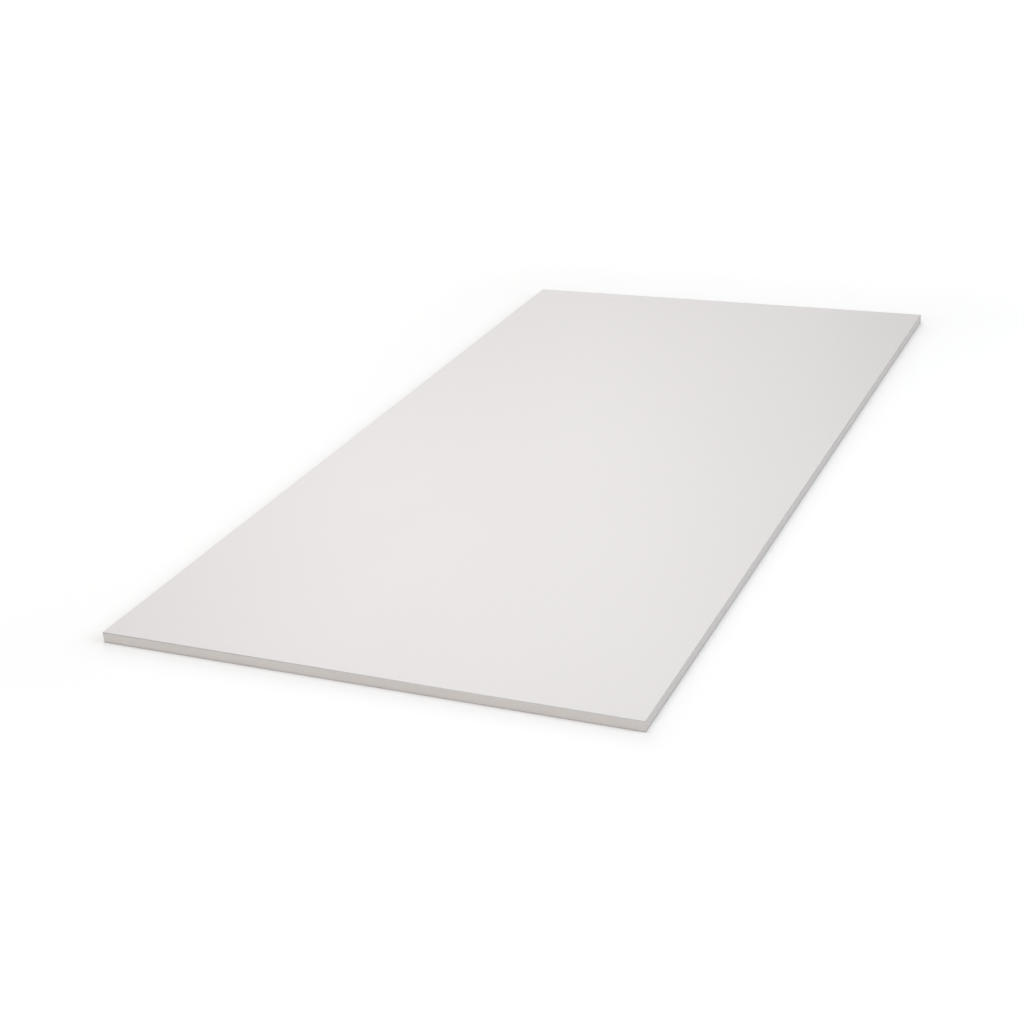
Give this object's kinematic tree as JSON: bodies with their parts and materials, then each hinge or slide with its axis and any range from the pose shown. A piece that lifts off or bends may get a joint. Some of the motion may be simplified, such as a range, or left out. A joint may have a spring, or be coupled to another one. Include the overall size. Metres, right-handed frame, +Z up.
{
  "type": "aluminium composite panel",
  "caption": "Flat rectangular composite panel: thin aluminium skins bonded to a plastic core, sawn square, coated white on the front, for cladding, signs and lining.",
  "frame": {"origin": "centre of the underside, on the surface that the panel lies on", "axes": "+X across the width, +Y along the length, +Z up out of the coated front face"},
  "size_m": [0.3, 0.6, 0.006],
  "materials": {
    "coated_aluminium": "matte",
    "core_plastic": "matte",
    "mill_finish_aluminium": "satin"
  },
  "bodies": {
    "root": {"front_skin": "coated_aluminium", "core": "core_plastic", "back_skin": "mill_finish_aluminium"}
  },
  "joints": []
}
